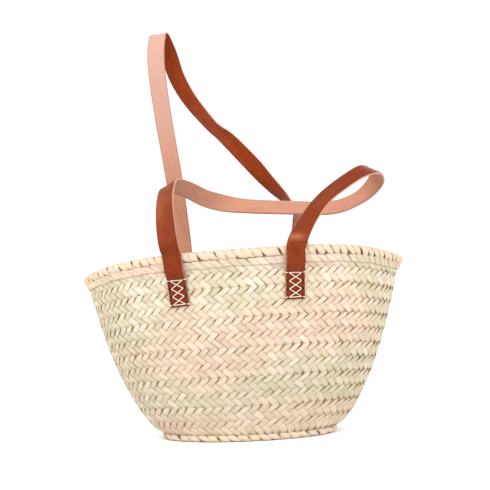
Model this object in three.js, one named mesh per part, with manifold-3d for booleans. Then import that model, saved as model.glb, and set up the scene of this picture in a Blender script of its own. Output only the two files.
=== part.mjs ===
// Woven palm-leaf market basket with two long leather handles. Millimetres, +Z up.
// Origin: centre of the underside of the base. The front faces -Y, +X is to the right.
import * as THREE from "three";
import { mergeVertices } from "three/addons/utils/BufferGeometryUtils.js";
import Module from "manifold-3d";

// Oval body
const BASE_HALF_LENGTH = 121;
const BASE_HALF_DEPTH = 50;
const RIM_HALF_LENGTH = 215;
const RIM_HALF_DEPTH = 90;
const END_BULGE = 52; // sets how far the end walls bow out of the straight taper, most near the foot
const FRONT_BULGE = 11; // the same for the front and back walls
const FOOT_HEIGHT = 10.4; // where the wall starts, above the rolled base seam
const RIM_HEIGHT = 250; // middle of the rim roll at the front and back
const RIM_DROP = 24; // how much lower the rim is at the two ends
const RIM_TILT = 0.0235; // rise of the rim per millimetre to the right
const WALL = 4; // thickness of the plaited wall
const AROUND = 44; // facets round the oval
const CLEAR = 0.3; // gap between pieces that touch

// The wall is a plaited band, wound up in turns and sewn edge to edge with a cord
const TURNS = 6;
const TURN_SHARE = 0.165; // of the wall height, in each turn but the last
const SEAM_CORD = 2; // thickness of the sewing cord between two turns

// Rim and base edges
const ROLL_RADIUS = 6.5;
const ROLL_WRAP = 1.6; // thickness of the whipping
const ROLL_OFFSET = 1; // the roll sits this far outside the middle of the wall
const COLLAR_TOP = 7.8; // below the middle of the roll
const COLLAR_HEIGHT = 8.2;
const COLLAR_PROUD = 5; // how far the collar stands out of the wall
const COLLAR_CORNER = 1.6; // bevel of its outer edges
const WRAP_OPENING = [-74, 222]; // degrees: the whipping is open downwards, where it grips the wall
const WRAP_LIPS = [-68, 205]; // the same opening on its inside
const CORE_END = 288; // degrees round the bundle
const WELT_RADIUS = 5;
const WELT_SEAM = 18; // degrees either side of straight out, where the seam closes against the base
const WELT_SIDE_TUCK = 0.5; // the seam sits this much further out at the front and back
const BASE_THICKNESS = 5;

// Leather handles
const STRAP_WIDTH = 25;
const STRAP_THICKNESS = 3.2;
const STRAP_STEPS = 4; // sections between two route points
const STRAP_GAP = 0.4; // between a strap and the wall or rim under it
const HINGE_HEIGHT = 225.5; // a handle bends here, just above its stitching
const TAB_LIFT = 5.6; // a strap steps out this far to pass over the collar and the roll
const TAB_LIFT_RISE = 11; // height over which it steps out

// Stitching, four rows of two punched holes on each tab
const THREAD_RADIUS = 0.7;
const THREAD_RUN_RADIUS = 0.56; // its stretches that lie on the leather and the wall
const INNER_GAP = 0.3; // between the thread inside the basket and the wall
const HOLE_RADIUS = 1.2;
const HOLE_ROWS = 4;
const HOLE_ROW_PITCH = 10.4;
const HOLE_HALF_SPACING = 7.9;
const FIRST_ROW = 3.4; // above the lower end of the tab
const OVER_EDGE = STRAP_WIDTH / 2 + THREAD_RADIUS + STRAP_GAP; // where a thread passes the strap's edge

const wasm = await Module();
wasm.setup();

// ---------- solids ----------

function toManifold(geometry) {
  const bare = new THREE.BufferGeometry();
  bare.setAttribute("position", geometry.getAttribute("position").clone());
  if (geometry.index) bare.setIndex(geometry.index.clone());
  const merged = mergeVertices(bare, 1e-4);
  return new wasm.Manifold(
    new wasm.Mesh({
      numProp: 3,
      vertProperties: new Float32Array(merged.attributes.position.array),
      triVerts: new Uint32Array(merged.index.array),
    }),
  );
}

function toGeometry(manifold) {
  const mesh = manifold.getMesh();
  const geometry = new THREE.BufferGeometry();
  geometry.setAttribute("position", new THREE.BufferAttribute(mesh.vertProperties, 3));
  geometry.setIndex(new THREE.BufferAttribute(mesh.triVerts, 1));
  geometry.computeVertexNormals();
  return geometry;
}

// Joins cross-sections of equal point count into one closed body. A path that closes needs no caps.
function loft(sections, closes) {
  const count = sections[0].length;
  const index = [];
  const spans = closes ? sections.length : sections.length - 1;
  for (let i = 0; i < spans; i++) {
    const here = i * count;
    const next = ((i + 1) % sections.length) * count;
    for (let j = 0; j < count; j++) {
      const k = (j + 1) % count;
      index.push(here + j, here + k, next + k);
      index.push(here + j, next + k, next + j);
    }
  }
  if (!closes) {
    const last = (sections.length - 1) * count;
    for (let j = 1; j < count - 1; j++) {
      index.push(0, j + 1, j);
      index.push(last, last + j, last + j + 1);
    }
  }
  const geometry = new THREE.BufferGeometry().setFromPoints(sections.flat());
  geometry.setIndex(index);
  geometry.computeVertexNormals();
  return geometry;
}

// ---------- the oval body ----------

const rimHeight = (angle) =>
  RIM_HEIGHT - RIM_DROP * Math.cos(angle) ** 4 + RIM_TILT * RIM_HALF_LENGTH * Math.cos(angle);

// The walls round off quickly into the foot and run straight into the rim.
const bow = (t) => Math.sqrt(t) * (1 - t);

const halfLength = (t) =>
  THREE.MathUtils.lerp(BASE_HALF_LENGTH, RIM_HALF_LENGTH, t) + END_BULGE * bow(t);

const halfDepth = (t) =>
  THREE.MathUtils.lerp(BASE_HALF_DEPTH, RIM_HALF_DEPTH, t) + FRONT_BULGE * bow(t);

// A point on the wall: t runs from the foot (0) to the rim (1), out is outwards from the outer face.
function wallPoint(angle, t, out = 0, up = 0) {
  return new THREE.Vector3(
    (halfLength(t) + out) * Math.cos(angle),
    (halfDepth(t) + out) * Math.sin(angle),
    THREE.MathUtils.lerp(FOOT_HEIGHT, rimHeight(angle), t) + up,
  );
}

// A ring that goes round the whole basket. section(angle) gives its outline, anticlockwise from outside.
function ovalRing(section) {
  const sections = [];
  for (let i = 0; i < AROUND; i++) sections.push(section((2 * Math.PI * i) / AROUND).reverse());
  return loft(sections, true);
}

// Points of an arc in the (out, up) plane, in degrees from straight out.
function arc(radius, from, to, steps) {
  const points = [];
  for (let i = 0; i <= steps; i++) {
    const a = THREE.MathUtils.degToRad(THREE.MathUtils.lerp(from, to, i / steps));
    points.push([radius * Math.cos(a), radius * Math.sin(a)]);
  }
  return points;
}

const wallHeight = RIM_HEIGHT - FOOT_HEIGHT;
const seamHalf = (SEAM_CORD / 2 + CLEAR) / wallHeight;
const wallTop = 1 - (ROLL_RADIUS - ROLL_WRAP) / wallHeight;

function braidTurn(number) {
  const low = number === 1 ? 0 : (number - 1) * TURN_SHARE + seamHalf;
  const high = number === TURNS ? wallTop : number * TURN_SHARE - seamHalf;
  const middle = (low + high) / 2;
  return ovalRing((a) => [
    wallPoint(a, low),
    wallPoint(a, middle),
    wallPoint(a, high),
    wallPoint(a, high, -WALL),
    wallPoint(a, middle, -WALL),
    wallPoint(a, low, -WALL),
  ]);
}

function seamCord(number) {
  const half = SEAM_CORD / 2;
  const t = number * TURN_SHARE;
  return ovalRing((a) => [
    wallPoint(a, t, half - WALL / 2, 0),
    wallPoint(a, t, -WALL / 2, half),
    wallPoint(a, t, -half - WALL / 2, 0),
    wallPoint(a, t, -WALL / 2, -half),
  ]);
}

// The roll on the rim: a bundled core, whipped with leaf that also grips the top edge of the wall.
const rollMiddle = ROLL_OFFSET - WALL / 2;

const rollRing = (outline) =>
  ovalRing((a) => outline.map(([out, up]) => wallPoint(a, 1, rollMiddle + out, up)));

const CORE_GAP = 3 * CLEAR;
const rimCore = () => rollRing(arc(ROLL_RADIUS - ROLL_WRAP - CORE_GAP, 0, CORE_END, 4));

function rimWrap() {
  const outside = arc(ROLL_RADIUS, WRAP_OPENING[0], WRAP_OPENING[1], 7);
  const inside = arc(ROLL_RADIUS - ROLL_WRAP, WRAP_LIPS[1], WRAP_LIPS[0], 4);
  return rollRing([...outside, ...inside]);
}

function rimCollar() {
  const low = -COLLAR_TOP - COLLAR_HEIGHT;
  const outline = [
    [CLEAR, low],
    [COLLAR_PROUD - COLLAR_CORNER, low],
    [COLLAR_PROUD, low + COLLAR_CORNER],
    [COLLAR_PROUD, -COLLAR_TOP - COLLAR_CORNER],
    [COLLAR_PROUD - COLLAR_CORNER, -COLLAR_TOP],
    [CLEAR, -COLLAR_TOP],
  ];
  return ovalRing((a) => outline.map(([out, up]) => wallPoint(a, 1 + up / wallHeight, out, 0)));
}

function baseWelt() {
  const outline = arc(WELT_RADIUS, WELT_SEAM, 360 - WELT_SEAM, 9);
  const length = BASE_HALF_LENGTH - WELT_RADIUS;
  const depth = BASE_HALF_DEPTH - WELT_RADIUS + WELT_SIDE_TUCK;
  return ovalRing((a) =>
    outline.map(
      ([out, up]) =>
        new THREE.Vector3(
          (length + out) * Math.cos(a),
          (depth + out) * Math.sin(a),
          WELT_RADIUS + up,
        ),
    ),
  );
}

function basePanel() {
  const edge = 2 * WELT_RADIUS + 2 * CLEAR;
  const oval = new THREE.Shape();
  oval.absellipse(0, 0, BASE_HALF_LENGTH - edge, BASE_HALF_DEPTH - edge, 0, 2 * Math.PI);
  return new THREE.ExtrudeGeometry(oval, {
    depth: BASE_THICKNESS,
    bevelEnabled: false,
    curveSegments: AROUND,
  });
}

// ---------- handles ----------

// The wall's surface straight behind a place seen from the front (side -1) or the back (side 1).
function wallAt(x, z, side) {
  let angle = (side * Math.PI) / 2;
  let t = 0;
  for (let i = 0; i < 12; i++) {
    t = (z - FOOT_HEIGHT) / (rimHeight(angle) - FOOT_HEIGHT);
    angle = side * Math.acos(x / halfLength(Math.min(t, 1)));
  }
  t = Math.min(t, 1);
  const outward = new THREE.Vector3(
    Math.cos(angle) / halfLength(t),
    Math.sin(angle) / halfDepth(t),
    0,
  ).normalize();
  return { y: wallPoint(angle, t).y, outward, rim: rimHeight(angle) };
}

// One end of a handle lies on the wall as a sewn tab, then steps out over the collar and the roll.
function strapOnWall(end, z) {
  const x = end.x + end.lean * (z - end.foot);
  const wall = wallAt(x, z, end.side);
  const start = wall.rim - COLLAR_TOP - COLLAR_HEIGHT - TAB_LIFT_RISE;
  const lift = TAB_LIFT * THREE.MathUtils.smoothstep(z, start, start + TAB_LIFT_RISE);
  const out = STRAP_GAP + STRAP_THICKNESS / 2 + lift;
  const at = new THREE.Vector3(x, wall.y, z).addScaledVector(wall.outward, out);
  const across = new THREE.Vector3(wall.outward.y, -wall.outward.x, 0);
  return { at, across: across.multiplyScalar(Math.sign(across.x) * end.across), wall };
}

const TAB_HEIGHTS = [0, 14, 28, 36, 41, 46, 52, 60, 67]; // above the tab's lower end

const endRoute = (end) =>
  TAB_HEIGHTS.map((h) => {
    const { at, across } = strapOnWall(end, end.foot + h);
    return [at, across];
  });

// Routes of the free part: a point on the middle of the strap and the direction across it,
// from its second edge to its first, which stays the same edge all the way.
const vector = (x, y, z) => new THREE.Vector3(x, y, z);
const route = (rows) => rows.map((row) => [vector(...row.slice(0, 3)), vector(...row.slice(3))]);

const FRONT = {
  start: { x: -82.5, foot: 185, lean: -0.09, side: -1, across: -1 },
  free: route([
    [-94, -90, 268, -10, 0, 0],
    [-98, -68, 295, -9.8, 1.9, 0.4],
    [-100, -38, 326, -9.1, 3.6, -2],
    [-97, -8, 347, -8.8, 1, -4.7],
    [-88, 14, 348, -7.5, 1, -6.6],
    [-71, 34, 342, -4.2, 3.8, -8.2],
    [-43, 48, 328, -3.6, 1.5, -9.2],
    [1, 57, 318, -1.5, -5.6, -8.2],
    [72, 60, 312, -0.3, -6.4, -7.7],
    [128, 56, 309, 0.8, -6.6, -7.5],
    [157, 48, 315, 3.2, -7.3, -6],
    [179, 38, 327, 5.5, -7.4, -3.8],
    [193, 20, 344, 6.6, -7, -2.8],
    [189, 2, 355, 3.5, -9, -2.6],
    [170, -13, 355, 2.4, -7.6, -6],
    [138, -26, 337, 4.1, -7.4, -5.3],
    [110, -44, 316, 5.1, -7.5, -4.1],
    [88, -66, 290, 7.2, -6.2, -3.2],
    [75, -86, 270, 9.5, -1, -1],
  ]),
  finish: { x: 66, foot: 188.5, lean: 0.03, side: -1, across: 1 },
};

const REAR = {
  start: { x: -80, foot: 187, lean: -0.08, side: 1, across: 1 },
  free: route([
    [-89, 92, 285, 10, 0, 0],
    [-96, 83, 366, 9.9, 1, 0.3],
    [-107, 68, 459, 9.9, 1, -0.4],
    [-112, 55, 531, 10, 0, -0.5],
    [-107, 62, 571, 9.7, -2.1, 0.7],
    [-96, 80, 549, 9.3, -2, 3.1],
    [-85, 88, 513, 8.7, -3.9, 2.9],
    [-67, 90, 479, 6.4, -6, 4.8],
    [-39, 88, 442, 4.5, -7.7, 4.5],
    [-26, 86, 429, 3.4, -7.6, 5.5],
    [-11, 84, 415, 5.6, -5.6, 6.1],
    [21, 84, 379, 7.1, -4.3, 5.6],
    [41, 85, 355, 6.1, -6.5, 4.5],
    [63, 87, 331, 4, -8.7, 2.7],
    [80, 89, 313, -2.4, -9.7, 0.1],
    [88.5, 90, 293, -9.7, -2.1, 0.7],
    [85.5, 93, 270, -10, 0, 0.5],
  ]),
  finish: { x: 79, foot: 189, lean: 0.09, side: 1, across: -1 },
};

// A flat strap along its route, as one closed body from tab end to tab end.
function strap(handle) {
  const stations = [...endRoute(handle.start), ...handle.free, ...endRoute(handle.finish).reverse()];
  const middle = new THREE.CatmullRomCurve3(stations.map(([at]) => at), false, "catmullrom", 0.5);
  const sideways = new THREE.CatmullRomCurve3(
    stations.map(([, across]) => across.clone().normalize()),
    false,
    "catmullrom",
    0.5,
  );
  const steps = (stations.length - 1) * STRAP_STEPS;
  const corners = [
    [-0.5, -0.5],
    [0.5, -0.5],
    [0.5, 0.5],
    [-0.5, 0.5],
  ];
  const sections = [];
  for (let i = 0; i <= steps; i++) {
    const along = middle.getTangent(i / steps);
    const across = sideways.getPoint(i / steps);
    across.addScaledVector(along, -across.dot(along)).normalize();
    const face = new THREE.Vector3().crossVectors(along, across);
    sections.push(
      corners.map(([u, v]) =>
        middle
          .getPoint(i / steps)
          .addScaledVector(across, u * STRAP_WIDTH)
          .addScaledVector(face, v * STRAP_THICKNESS),
      ),
    );
  }
  return toManifold(loft(sections, false));
}

// The strap is cut level at the hinge: what is above swings, the two tabs below stay on the wall.
const FAR = 1000;

function halfSpace(xSign, above) {
  const box = new THREE.BoxGeometry(FAR, FAR, FAR);
  const gap = (above ? 1 : -1) * (CLEAR / 2 + FAR / 2);
  box.translate((xSign * FAR) / 2, 0, HINGE_HEIGHT + gap);
  return toManifold(box);
}

// The frame of a tab: its lower end, up along the strap, across it, and out of its outer face.
function tabFrame(end) {
  const low = strapOnWall(end, end.foot);
  const high = strapOnWall(end, end.foot + (HOLE_ROWS - 1) * HOLE_ROW_PITCH + FIRST_ROW);
  const up = new THREE.Vector3().subVectors(high.at, low.at).normalize();
  const outward = low.wall.outward.clone().add(high.wall.outward);
  outward.addScaledVector(up, -outward.dot(up)).normalize();
  const across = new THREE.Vector3().crossVectors(up, outward);
  return (u, v, n) =>
    low.at
      .clone()
      .addScaledVector(across, u)
      .addScaledVector(up, v)
      .addScaledVector(outward, n);
}

function rod(from, to, radius, sides, overrun) {
  const along = new THREE.Vector3().subVectors(to, from);
  const geometry = new THREE.CylinderGeometry(radius, radius, along.length() + 2 * overrun, sides);
  const turn = new THREE.Quaternion().setFromUnitVectors(
    new THREE.Vector3(0, 1, 0),
    along.clone().normalize(),
  );
  geometry.applyQuaternion(turn);
  const middle = from.clone().add(to).multiplyScalar(0.5);
  geometry.translate(middle.x, middle.y, middle.z);
  return toManifold(geometry);
}

const union = (solids) => solids.reduce((joined, solid) => joined.add(solid));

// Level of the thread's middle outside the tab and inside the wall, from the middle of the strap.
const threadOut = STRAP_THICKNESS / 2 + THREAD_RADIUS + STRAP_GAP;
const threadIn = -(STRAP_THICKNESS / 2 + 2 * STRAP_GAP + WALL + THREAD_RADIUS + INNER_GAP);
const rowHeight = (row) => FIRST_ROW + row * HOLE_ROW_PITCH;
const lastRow = HOLE_ROWS - 1;

// Every place where a thread goes through: eight holes in the tab and, past its edges, four in the wall.
function threadPassages() {
  const inTab = [];
  const besideTab = [];
  for (const side of [-1, 1]) {
    for (let row = 0; row < HOLE_ROWS; row++) inTab.push([side * HOLE_HALF_SPACING, rowHeight(row)]);
    for (const row of [0, lastRow]) besideTab.push([side * OVER_EDGE, rowHeight(row)]);
  }
  return { inTab, besideTab };
}

const passages = threadPassages();

const punch = (place, list) =>
  union(
    list.map(([u, v]) => rod(place(u, v, threadIn), place(u, v, threadOut), HOLE_RADIUS, 5, 1)),
  );

// One thread: crosses outside between the rows, a bar on the first and last row that runs on over the
// strap's edges, and two upright runs inside the basket. Where it turns a corner the stretch that goes
// through is the thickest, so the others end inside it.
function stitching(place) {
  const run = (u1, v1, u2, v2, n) =>
    rod(place(u1, v1, n), place(u2, v2, n), THREAD_RUN_RADIUS, 3, 0);
  const pieces = [];
  for (const [u, v] of [...passages.inTab, ...passages.besideTab]) {
    pieces.push(rod(place(u, v, threadIn), place(u, v, threadOut), THREAD_RADIUS, 4, THREAD_RADIUS));
  }
  for (let row = 0; row < lastRow; row++) {
    for (const u of [-HOLE_HALF_SPACING, HOLE_HALF_SPACING]) {
      pieces.push(run(-u, rowHeight(row), u, rowHeight(row + 1), threadOut));
    }
  }
  for (const v of [rowHeight(0), rowHeight(lastRow)]) {
    pieces.push(run(-OVER_EDGE, v, OVER_EDGE, v, threadOut));
    pieces.push(run(-OVER_EDGE, v, -HOLE_HALF_SPACING, v, threadIn));
    pieces.push(run(HOLE_HALF_SPACING, v, OVER_EDGE, v, threadIn));
  }
  for (const u of [-HOLE_HALF_SPACING, HOLE_HALF_SPACING]) {
    pieces.push(run(u, rowHeight(0), u, rowHeight(lastRow), threadIn));
  }
  return union(pieces);
}

// ---------- materials ----------

const finish = (color, roughness) => new THREE.MeshStandardMaterial({ color, roughness, metalness: 0 });
const palm = () => finish(0xe6d4a6, 0.75);
const leafWrap = () => finish(0xecd9a8, 0.7);
const cordPalm = () => finish(0xcdb887, 0.8);
const leather = () => finish(0x94441f, 0.45);
const waxedThread = () => finish(0xeee4cf, 0.6);

// ---------- assembly ----------

const basket = new THREE.Group();

function add(name, geometry, material) {
  const mesh = new THREE.Mesh(geometry, material);
  mesh.name = name;
  basket.add(mesh);
}

const tabEnds = {
  front_left: FRONT.start,
  front_right: FRONT.finish,
  rear_left: REAR.start,
  rear_right: REAR.finish,
};
const punches = {};
for (const [name, end] of Object.entries(tabEnds)) {
  const place = tabFrame(end);
  punches[name] = {
    tab: punch(place, passages.inTab),
    wall: punch(place, [...passages.inTab, ...passages.besideTab]),
    stitching: stitching(place),
  };
}
const wallPunch = union(Object.values(punches).map((p) => p.wall));

add("base_panel", basePanel(), palm());
add("base_welt", baseWelt(), leafWrap());
for (let number = 1; number <= TURNS; number++) {
  const turn = braidTurn(number);
  const sewn = number >= TURNS - 1;
  const geometry = sewn ? toGeometry(toManifold(turn).subtract(wallPunch)) : turn;
  add(`wall_braid_${number}`, geometry, palm());
  if (number < TURNS) add(`seam_cord_${number}`, seamCord(number), cordPalm());
}
add("rim_core", rimCore(), cordPalm());
add("rim_wrap", rimWrap(), leafWrap());
add("rim_collar", rimCollar(), leafWrap());

for (const [name, handle] of Object.entries({ front: FRONT, rear: REAR })) {
  const whole = strap(handle);
  const upper = halfSpace(-1, true).add(halfSpace(1, true));
  add(`${name}_handle`, toGeometry(whole.intersect(upper)), leather());
  for (const [side, sign] of [
    ["left", -1],
    ["right", 1],
  ]) {
    const key = `${name}_${side}`;
    const tab = whole.intersect(halfSpace(sign, false)).subtract(punches[key].tab);
    add(`${key}_tab`, toGeometry(tab), leather());
    add(`${key}_stitching`, toGeometry(punches[key].stitching), waxedThread());
  }
}

export default basket;
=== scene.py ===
import math

import bpy
import numpy as np
from mathutils import Matrix


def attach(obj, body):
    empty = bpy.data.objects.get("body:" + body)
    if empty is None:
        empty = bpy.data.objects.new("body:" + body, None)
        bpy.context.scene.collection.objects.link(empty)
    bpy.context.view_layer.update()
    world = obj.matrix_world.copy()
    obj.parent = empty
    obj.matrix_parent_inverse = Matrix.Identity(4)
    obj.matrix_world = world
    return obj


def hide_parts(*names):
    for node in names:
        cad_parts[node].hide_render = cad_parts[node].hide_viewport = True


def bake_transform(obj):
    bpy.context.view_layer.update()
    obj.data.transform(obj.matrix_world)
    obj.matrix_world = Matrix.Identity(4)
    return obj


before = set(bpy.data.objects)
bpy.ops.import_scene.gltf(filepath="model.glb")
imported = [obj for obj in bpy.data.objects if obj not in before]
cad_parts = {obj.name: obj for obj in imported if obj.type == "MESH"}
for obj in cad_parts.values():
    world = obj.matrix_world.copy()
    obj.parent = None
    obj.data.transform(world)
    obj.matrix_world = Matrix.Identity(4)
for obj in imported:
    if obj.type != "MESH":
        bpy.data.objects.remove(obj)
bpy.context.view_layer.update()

# Woven palm-leaf market basket with two leather handles, in metres, in the frame of the CAD model.
# The front faces -Y, the back +Y, and the basket stands on z = 0.

MM = 0.001
SEED = 20417
scene = bpy.context.scene


def add_object(name, data):
    made = bpy.data.objects.new(name, data)
    scene.collection.objects.link(made)
    return made


# ---------- camera ----------

CAMERA_PLACE = (0.0045, -1.213, 0.261)
CAMERA_ROLL = math.radians(2.6)
CAMERA_LENS, CAMERA_SENSOR = 64.47, 36.0


def make_camera():
    data = bpy.data.cameras.new("camera")
    data.lens = CAMERA_LENS
    data.sensor_width = CAMERA_SENSOR
    data.clip_end = 50
    camera = add_object("camera", data)
    c, s = math.cos(CAMERA_ROLL), math.sin(CAMERA_ROLL)
    x, y, z = CAMERA_PLACE
    camera.matrix_world = Matrix(((c, s, 0, x), (0, 0, -1, y), (-s, c, 0, z), (0, 0, 0, 1)))
    scene.camera = camera


make_camera()


# ---------- the basket's own shape ----------

BASE_HALF_LENGTH, BASE_HALF_DEPTH = 0.121, 0.050
RIM_HALF_LENGTH, RIM_HALF_DEPTH = 0.215, 0.090
END_BULGE, FRONT_BULGE = 0.052, 0.011
FOOT_HEIGHT = 0.0104
RIM_HEIGHT, RIM_DROP, RIM_TILT = 0.250, 0.024, 0.0235
WALL = 0.004
WALL_HEIGHT = RIM_HEIGHT - FOOT_HEIGHT
TURNS = 6
TURN_SHARE = 0.165  # a turn's part of the wall's height
ROWS = 4  # plait rows in a turn
ROLL_RADIUS, ROLL_MIDDLE = 0.0065, -0.001
COLLAR_TOP, COLLAR_HEIGHT = 0.0078, 0.0082
WELT_RADIUS = 0.005


def lerp(a, b, t):
    return a + (b - a) * t


def smoothstep(x, low, high):
    t = np.clip((x - low) / (high - low), 0, 1)
    return t * t * (3 - 2 * t)


def rim_height(angle):
    c = np.cos(angle)
    return RIM_HEIGHT - RIM_DROP * c**4 + RIM_TILT * RIM_HALF_LENGTH * c


def bow(t):
    return np.sqrt(np.clip(t, 0, 1)) * (1 - t)


def half_length(t):
    return lerp(BASE_HALF_LENGTH, RIM_HALF_LENGTH, t) + END_BULGE * bow(t)


def half_depth(t):
    return lerp(BASE_HALF_DEPTH, RIM_HALF_DEPTH, t) + FRONT_BULGE * bow(t)


def wall_point(angle, t, out=0.0):
    """Points of the wall: t runs from the foot (0) to the rim (1), out is outwards from its outer face."""
    angle, t, out = np.broadcast_arrays(angle, t, out)
    x = (half_length(t) + out) * np.cos(angle)
    y = (half_depth(t) + out) * np.sin(angle)
    return np.stack([x, y, lerp(FOOT_HEIGHT, rim_height(angle), t)], -1)


class Around:
    """Steps round an oval: turns a share of the way, counted from +X, into an angle.

    crowding draws the steps closer together at the oval's two tight ends, from 0 (all even) to 1.
    """

    def __init__(self, half_x, half_y, crowding=0.0):
        self.angles = np.linspace(0, math.tau, 1441)
        x, y = half_x * np.cos(self.angles), half_y * np.sin(self.angles)
        lengths = np.concatenate([[0], np.cumsum(np.hypot(np.diff(x), np.diff(y)))])
        self.shares = lerp(lengths / lengths[-1], self.angles / math.tau, crowding)
        # how much of the way a metre of the flat front is
        self.density = lerp(1 / lengths[-1], 1 / (math.tau * half_x), crowding)

    def angle(self, share):
        return np.interp(share % 1.0, self.shares, self.angles)

    def count(self, pitch):
        """How many pieces go round when they are pitch apart at the front."""
        return int(round(1 / (pitch * self.density)))


# ---------- mesh pieces ----------


def tube_faces(count, stations, ring):
    """Side quads and end triangles of closed tubes, each with stations of ring points."""
    i, j = np.meshgrid(np.arange(stations - 1), np.arange(ring), indexing="ij")
    k = (j + 1) % ring
    sides = np.stack([i * ring + j, i * ring + k, (i + 1) * ring + k, (i + 1) * ring + j], -1)
    fan = np.arange(1, ring - 1)
    first = np.stack([0 * fan, fan + 1, fan], -1)
    ends = np.concatenate([first, first[:, ::-1] + (stations - 1) * ring])
    shift = (np.arange(count) * stations * ring)[:, None, None]
    return (sides.reshape(-1, 4) + shift).reshape(-1, 4), (ends + shift).reshape(-1, 3)


def make_piece(name, groups, materials, capped=True, flipped=False, parts=None, body="basket"):
    """A smooth mesh made of tubes.

    Each group is points[tube, station, place in the ring] and a dict of point attributes. capped
    closes the tubes' ends, flipped turns the faces round, and parts gives each face's material.
    """
    verts, quads, tris, layers = [], [], [], {}
    base = 0
    for points, attributes in groups:
        sides, ends = tube_faces(*points.shape[:3])
        quads.append(sides + base)
        tris.append(ends + base)
        verts.append(points.reshape(-1, 3))
        base += len(verts[-1])
        for key, values in attributes.items():
            layers.setdefault(key, []).append(values.reshape(len(verts[-1]), -1))
    blocks = quads + tris if capped else quads
    step = -1 if flipped else 1
    faces = [face[::step] for block in blocks for face in block.tolist()]
    mesh = bpy.data.meshes.new(name)
    mesh.from_pydata(np.concatenate(verts).tolist(), [], faces)
    for material in materials:
        mesh.materials.append(material)
    if parts is not None:
        mesh.polygons.foreach_set("material_index", np.asarray(parts, np.int32))
    for key, blocks in layers.items():
        values = np.concatenate(blocks).astype(np.float32)
        kind, field = ("FLOAT_VECTOR", "vector") if values.shape[1] == 3 else ("FLOAT", "value")
        mesh.attributes.new(key, kind, "POINT").data.foreach_set(field, values.ravel())
    mesh.polygons.foreach_set("use_smooth", np.ones(len(faces), bool))
    mesh.update()
    piece = add_object(name, mesh)
    if body:
        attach(piece, body)
    return piece


# ---------- colour and variation ----------


def linear(*rgb):
    """A colour of 0 to 255 as it is seen, as linear light."""
    c = np.asarray(rgb, float) / 255
    return np.where(c <= 0.04045, c / 12.92, ((c + 0.055) / 1.055) ** 2.4)


LEAF_SHADE = 0.642  # all leaf colours are this much darker than they look in the studio's light
CREAM = linear(244, 227, 204) * LEAF_SHADE
PALE = linear(251, 239, 223) * LEAF_SHADE
PEACH = linear(243, 217, 199) * LEAF_SHADE
GREEN = linear(227, 220, 194) * LEAF_SHADE
STRAW = linear(250, 226, 196) * LEAF_SHADE * 1.08


class Patches:
    """Smooth seeded noise between about -1 and 1 over the plane."""

    def __init__(self, wavelength, seed, waves=7):
        look = np.random.default_rng(seed)
        angle = look.uniform(0, math.tau, waves)
        size = math.tau / (wavelength * look.uniform(0.6, 1.7, waves))
        self.kx, self.ky = size * np.cos(angle), size * np.sin(angle)
        self.phase = look.uniform(0, math.tau, waves)
        self.norm = 1.6 / waves**0.5

    def __call__(self, x, y):
        x, y = np.asarray(x)[..., None], np.asarray(y)[..., None]
        return np.sin(self.kx * x + self.ky * y + self.phase).sum(-1) * self.norm


def draw(look, count, low=-1, high=1):
    """One random number for each strand, wrap or pad."""
    return look.uniform(low, high, (count, 1, 1))


# ---------- materials ----------

MIX_A, MIX_B, MIX_RESULT = 6, 7, 2  # the colour sockets of a Mix node


def node(tree, kind, **values):
    """A shader node. Each value sets the input or the property of that name."""
    made = tree.nodes.new(kind)
    for key, value in values.items():
        if key in made.inputs:
            made.inputs[key].default_value = value
        else:
            setattr(made, key, value)
    return made


def link(tree, source, socket):
    """Links a source, which is a (node, output) pair, to a socket."""
    tree.links.new(source[0].outputs[source[1]], socket)


def mix_colour(tree, kind, factor, a, b):
    """Mixes a and b, which are sources or colours, by a source."""
    made = node(tree, "ShaderNodeMix", data_type="RGBA", blend_type=kind)
    link(tree, factor, made.inputs[0])
    for value, socket in ((a, made.inputs[MIX_A]), (b, made.inputs[MIX_B])):
        if len(value) == 2:
            link(tree, value, socket)
        else:
            socket.default_value = (*value, 1)
    return (made, MIX_RESULT)


def ramp(tree, source, low, high, out_low=0.0, out_high=1.0):
    """Spreads low to high over out_low to out_high, and holds the ends."""
    made = node(tree, "ShaderNodeMapRange")
    link(tree, source, made.inputs["Value"])
    made.inputs["From Min"].default_value = low
    made.inputs["From Max"].default_value = high
    made.inputs["To Min"].default_value = out_low
    made.inputs["To Max"].default_value = out_high
    return (made, 0)


def attribute(tree, name, output="Fac"):
    return (node(tree, "ShaderNodeAttribute", attribute_name=name), output)


def scaled(tree, source, scale):
    made = node(tree, "ShaderNodeMapping", Scale=scale)
    link(tree, source, made.inputs["Vector"])
    return (made, 0)


def noise(tree, vector, scale=1.0, detail=4.0, roughness=0.6):
    made = node(tree, "ShaderNodeTexNoise", Scale=scale, Detail=detail, Roughness=roughness)
    link(tree, vector, made.inputs["Vector"])
    return (made, "Fac")


def bump(tree, height, strength, distance, before=None):
    made = node(tree, "ShaderNodeBump", Strength=strength, Distance=distance)
    link(tree, height, made.inputs["Height"])
    if before:
        link(tree, before, made.inputs["Normal"])
    return (made, "Normal")


def new_material(name):
    material = bpy.data.materials.new(name)
    material.use_nodes = True
    return material, material.node_tree


def set_surface(tree, colour, roughness, normal, specular=0.5, sheen=0.0):
    shader = tree.nodes["Principled BSDF"]
    link(tree, colour, shader.inputs["Base Color"])
    link(tree, roughness, shader.inputs["Roughness"])
    link(tree, normal, shader.inputs["Normal"])
    shader.inputs["Specular IOR Level"].default_value = specular
    shader.inputs["Sheen Weight"].default_value = sheen


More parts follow.
